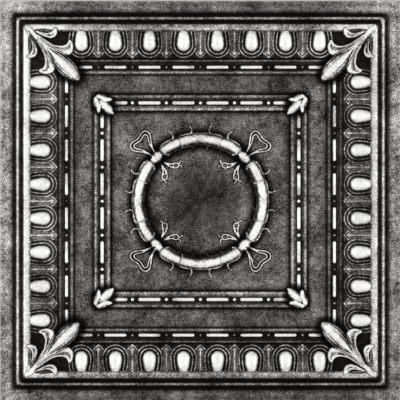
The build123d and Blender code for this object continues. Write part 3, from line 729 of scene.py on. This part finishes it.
def wash_left(nodes, plan):
    """Share of the tone that the black wash leaves."""
    radius = nodes.math("SQRT", nodes.plus(nodes.times(plan.x, plan.x), nodes.times(plan.y, plan.y)))
    left = nodes.curve(radius, WREATH_WASH, WREATH_WASH[-1][0])
    down, aside = nodes.on_diagonal(plan.x, plan.y)
    for middle, half_length, half_width in (LEAF_TIP_WASH, BUD_WASH):
        s = nodes.math("DIVIDE", nodes.minus(down, HALF / DIAGONAL - middle), half_length)
        t = nodes.math("DIVIDE", aside, half_width)
        oval = nodes.plus(nodes.times(s, s), nodes.times(t, t))
        left = nodes.times(left, nodes.lerp(nodes.smooth(oval, 0.6, 1.5), 0.2, 1.0))
    return left


def frieze_dust(nodes, plan):
    """Between an egg and the next dart the frieze's ground goes from black to dark grey."""
    dusty = nodes.inverse(nodes.smooth(plan.from_dart, 3.5, 8.0))
    before_leaf = nodes.below(plan.by_the_side, LAST_DUST)
    in_frieze = plan.by_distance([
        (0, 0), (FRIEZE + 0.1, 0), (FRIEZE + 1.1, 0.28), (FRIEZE + 18.1, 0.2), (FRIEZE_LIP - 8.6, 0.12),
        (FRIEZE_LIP - 4.6, 0.1), (FRIEZE_LIP - 3.6, 0), (REACH, 0),
    ])
    return nodes.times(nodes.times(dusty, before_leaf), in_frieze)


EGG_MIDDLE = FRIEZE + 11.1
EGG_HALF_LENGTH = 15.2
EGG_HALF_WIDTH = 10.0


def egg_silver(nodes, plan):
    """Where an egg is, and its tone; the upper and lower eggs get painted shade under the rail."""
    u = nodes.math("DIVIDE", nodes.minus(plan.u, EGG_MIDDLE), EGG_HALF_LENGTH)
    w = nodes.math("DIVIDE", nodes.minus(EGG_PITCH / 2, plan.from_dart), EGG_HALF_WIDTH)
    oval = nodes.plus(nodes.times(u, u), nodes.times(w, w))
    is_egg = nodes.inverse(nodes.smooth(oval, 0.98, 1.12))
    tone = plan.by_height([(0, 0), (0.4, 0.14), (1.1, 0.5), (2, 0.8), (2.8, 0.95), (3.7, 1), (TALLEST, 1)])
    # Painted shade: the upper and lower eggs darken where they go under the rail
    rail_shade = nodes.lerp(plan.sideways, 0.82, 1.0)
    from_rail = nodes.smooth(plan.u, FRIEZE - 1.9, FRIEZE + 9.1)
    return is_egg, nodes.times(tone, nodes.lerp(from_rail, rail_shade, 1.0))


def line_silver(nodes, plan):
    """The tone of the frieze's rims and darts, a little brighter on the darts' shafts."""
    tone = plan.by_height([(0, 0), (0.2, 0.2), (0.5, 0.62), (0.8, 0.86), (1.6, 0.97), (TALLEST, 1)])
    share = plan.by_distance([
        (0, 0), (FRIEZE - 0.9, 0), (FRIEZE + 0.1, 0.62), (FRIEZE + 18.1, 0.6), (FRIEZE_LIP - 12.6, 0.78),
        (FRIEZE_LIP - 9.6, 0.82), (FRIEZE_LIP - 7.6, 0.62), (FRIEZE_LIP - 1.6, 0.56),
        (OUTER_CHANNEL - 0.2, 0), (REACH, 0),
    ])
    on_shaft = nodes.inverse(nodes.smooth(plan.from_dart, 1.0, 2.5))
    return nodes.times(tone, nodes.plus(share, nodes.times(on_shaft, 0.16)))


def bead_silver(nodes, plan):
    """The tone of the beads; the outer row's dots are dull, and both rows fade at their ends."""
    tone = plan.by_height([(0, 0), (0.3, 0.1), (0.8, 0.52), (1.3, 0.92), (1.8, 1), (TALLEST, 1)])
    in_channel = plan.by_distance([
        (0, 0), (OUTER_CHANNEL - 0.2, 0), (OUTER_CHANNEL + 1.8, 1), (CHANNEL_LIP - 4.4, 1),
        (CHANNEL_LIP - 2.6, 0.7), (CHANNEL_LIP, 0), (STRIP_CHANNEL - 0.2, 0), (STRIP_CHANNEL + 1.8, 1),
        (STRIP_INNER_LIP - 2.2, 1), (STRIP_INNER_LIP - 0.2, 0), (REACH, 0),
    ])
    is_outer = nodes.below(plan.u, BAND)
    fade = [nodes.lerp(is_outer, inner, outer) for inner, outer in zip(INNER_ROW_FADE, OUTER_ROW_FADE)]
    at_end = nodes.smooth(plan.by_the_side, *fade)
    is_dull_dot = nodes.times(nodes.below(plan.from_dart, DOT_REACH), is_outer)
    kept = nodes.times(nodes.inverse(nodes.times(is_dull_dot, 0.62)), nodes.inverse(nodes.times(at_end, 0.9)))
    return nodes.times(nodes.times(tone, in_channel), kept)


def raised_silver(nodes, plan):
    """Silver on what stands over its member: eggs, rims and darts, beads and dots."""
    is_egg, egg_tone = egg_silver(nodes, plan)
    lines_and_beads = nodes.plus(line_silver(nodes, plan), bead_silver(nodes, plan))
    brushed = nodes.lerp(nodes.smooth(nodes.noise(plan.place, 34.0, 1.0), 0.36, 0.5), 0.8, 1.0)
    return nodes.lerp(is_egg, nodes.times(lines_and_beads, brushed), egg_tone)


def bare_foam(nodes, plan):
    """The back and its hollows are bare foam; the paint ends on the tile's edges."""
    facing = nodes.add("SeparateXYZ", {0: nodes.add("TexCoord").outputs["Normal"]}).outputs[2]
    inside = nodes.math("GREATER_THAN", plan.mitred, 0.2)
    in_hollow = nodes.times(nodes.below(plan.height, -1.8), inside)
    return nodes.math("MAXIMUM", nodes.below(facing, -0.3), in_hollow)


def make_tile_paint():
    nodes = Nodes("silvered_tile")
    plan = TilePlan(nodes)
    flat = nodes.times(member_tone(nodes, plan), wash_left(nodes, plan))
    flat = nodes.plus(flat, frieze_dust(nodes, plan))
    tone = nodes.math("MAXIMUM", flat, raised_silver(nodes, plan))
    return nodes.paint(tone, plan.place, 1.0, bare_foam(nodes, plan))


ornament_paint = make_ornament_paint()
tile_paint = make_tile_paint()
for slot in tile.material_slots:
    slot.material = tile_paint

for corner, (side_x, side_y) in CORNERS.items():
    corner_leaf().piece("leaf_" + corner, from_corner(side_x, side_y))
    corner_bud().piece("bud_" + corner, from_corner(side_x, side_y))
    wreath_knot().piece("knot_" + corner, from_middle(side_x, side_y))
for quarter, outer_tone in enumerate(ARC_SIDE_LIT_TONES):
    wreath_arc(outer_tone).piece("wreath_arc_" + str(quarter), on_arc(quarter))


# Floor, lights and camera

FLOOR_REACH = 3.0
FLOOR_DROP = 0.0002
FLOOR_COLOUR = (0.62, 0.6, 0.57, 1)
LIGHT_AWAY = 2.2
LIGHT_HEIGHT = 1.5
LIGHT_SIZE = (1.2, 1.6)
LEFT_POWER = 30.0
RIGHT_POWER = 26.0
SKY_STRENGTH = 0.6
LENS = 150.0
SENSOR = 36.0
PHOTO_MIDDLE = (-0.0006, 0.0015)    # the photo's middle, seen from the tile's


def make_floor():
    mesh = bpy.data.meshes.new("floor")
    corners = [(x * FLOOR_REACH, y * FLOOR_REACH, 0) for x, y in ((-1, -1), (1, -1), (1, 1), (-1, 1))]
    mesh.from_pydata(corners, [], [(0, 1, 2, 3)])
    floor = bpy.data.objects.new("floor", mesh)
    floor.location.z = -FLOOR_DROP
    bpy.context.scene.collection.objects.link(floor)
    nodes = Nodes("floor")
    nodes.shader.inputs["Base Color"].default_value = FLOOR_COLOUR
    nodes.shader.inputs["Roughness"].default_value = 0.9
    mesh.materials.append(nodes.material)


def area_light(name, x, power):
    """A soft light beside the tile, turned to its middle."""
    light = bpy.data.lights.new(name, "AREA")
    light.shape = "RECTANGLE"
    light.size, light.size_y = LIGHT_SIZE
    light.energy = power
    lamp = bpy.data.objects.new(name, light)
    lamp.location = (x, 0.0, LIGHT_HEIGHT)
    direction = -lamp.location
    lamp.rotation_euler = direction.to_track_quat("-Z", "Y").to_euler()
    bpy.context.scene.collection.objects.link(lamp)


def make_sky():
    world = bpy.data.worlds.new("studio")
    world.use_nodes = True
    background = world.node_tree.nodes["Background"]
    background.inputs[0].default_value = (1, 1, 1, 1)
    background.inputs[1].default_value = SKY_STRENGTH
    bpy.context.scene.world = world


def make_camera():
    """A camera straight over the tile, at the height where the tile's face fills the frame."""
    camera_data = bpy.data.cameras.new("camera")
    camera_data.lens = LENS
    camera_data.sensor_width = SENSOR
    camera = bpy.data.objects.new("camera", camera_data)
    frame_width = 2 * HALF * MM
    camera.location = PHOTO_MIDDLE + (FACE_Z * MM + frame_width * LENS / SENSOR,)
    bpy.context.scene.collection.objects.link(camera)
    bpy.context.scene.camera = camera


make_floor()
area_light("left_light", -LIGHT_AWAY, LEFT_POWER)
area_light("right_light", LIGHT_AWAY, RIGHT_POWER)
make_sky()
make_camera()
bpy.context.scene.view_settings.view_transform = "Standard"
